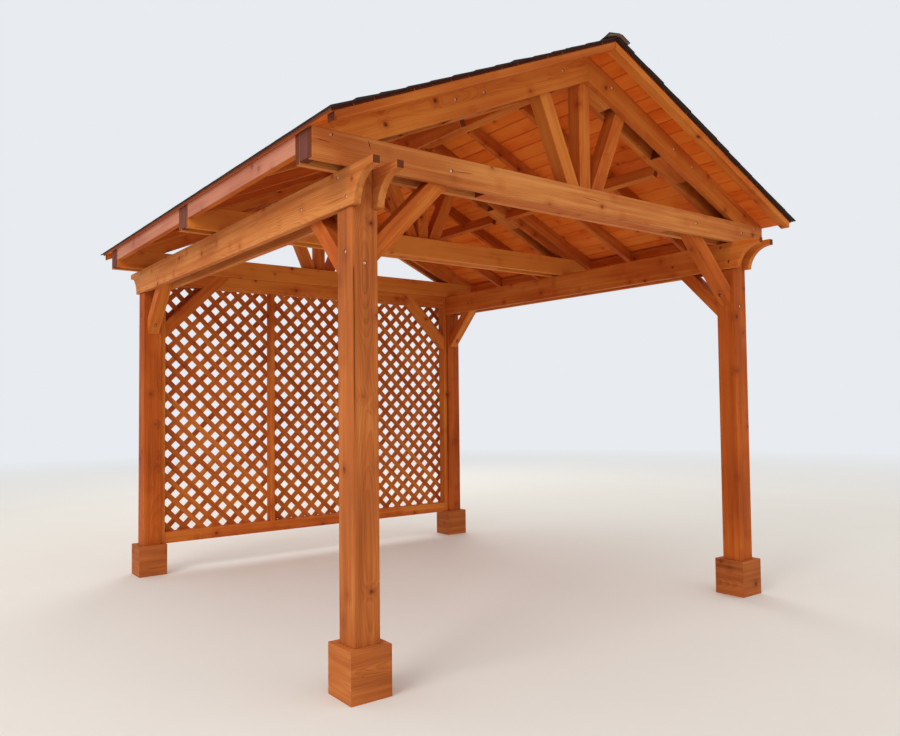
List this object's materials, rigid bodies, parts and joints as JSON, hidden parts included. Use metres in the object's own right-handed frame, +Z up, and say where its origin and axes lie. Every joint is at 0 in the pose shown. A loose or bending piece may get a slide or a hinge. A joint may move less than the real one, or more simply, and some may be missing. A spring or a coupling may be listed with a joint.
{
  "type": "garden gazebo",
  "caption": "Timber gable-roof pavilion on posts, with doubled-board trusses, knee braces, a shingled roof and a lattice wall across the back.",
  "frame": {"origin": "on the ground, at the centre of the four posts", "axes": "+X to the right along the front gable, +Y to the back where the lattice wall is, +Z up"},
  "size_m": [3.6754, 4.02, 3.4316],
  "materials": {
    "timber": "orange-brown stain, satin",
    "roof_boards": "orange-brown stain, matt",
    "lattice": "orange-brown stain, matt",
    "shingles": "mineral granules, near black"
  },
  "bodies": {
    "root": {"post_front_left": "timber", "post_front_right": "timber", "post_back_left": "timber", "post_back_right": "timber", "post_bases": "timber", "eave_beam_left": "timber", "eave_beam_right": "timber", "front_tie": "timber", "middle_tie": "timber", "back_tie": "timber", "tie_cores": "timber", "tie_end_blocks": "timber", "front_chord_left": "timber", "front_chord_right": "timber", "middle_chord_left": "timber", "middle_chord_right": "timber", "back_chord_left": "timber", "back_chord_right": "timber", "chord_spacers": "timber", "king_posts": "timber", "struts": "timber", "ridge_beam": "timber", "rafters_left": "timber", "rafters_right": "timber", "purlin_left": "timber", "purlin_right": "timber", "fascia_left": "timber", "fascia_right": "timber", "barge_boards_front": "timber", "barge_boards_back": "timber", "roof_deck_left": "roof_boards", "roof_deck_right": "roof_boards", "shingles_left": "shingles", "shingles_right": "shingles", "ridge_cap": "shingles", "beam_braces": "timber", "tie_braces": "timber", "lattice_left": "lattice", "lattice_middle": "lattice", "lattice_right": "lattice", "lattice_top_rail": "timber", "lattice_bottom_rail": "timber", "lattice_uprights": "timber"}
  },
  "joints": []
}
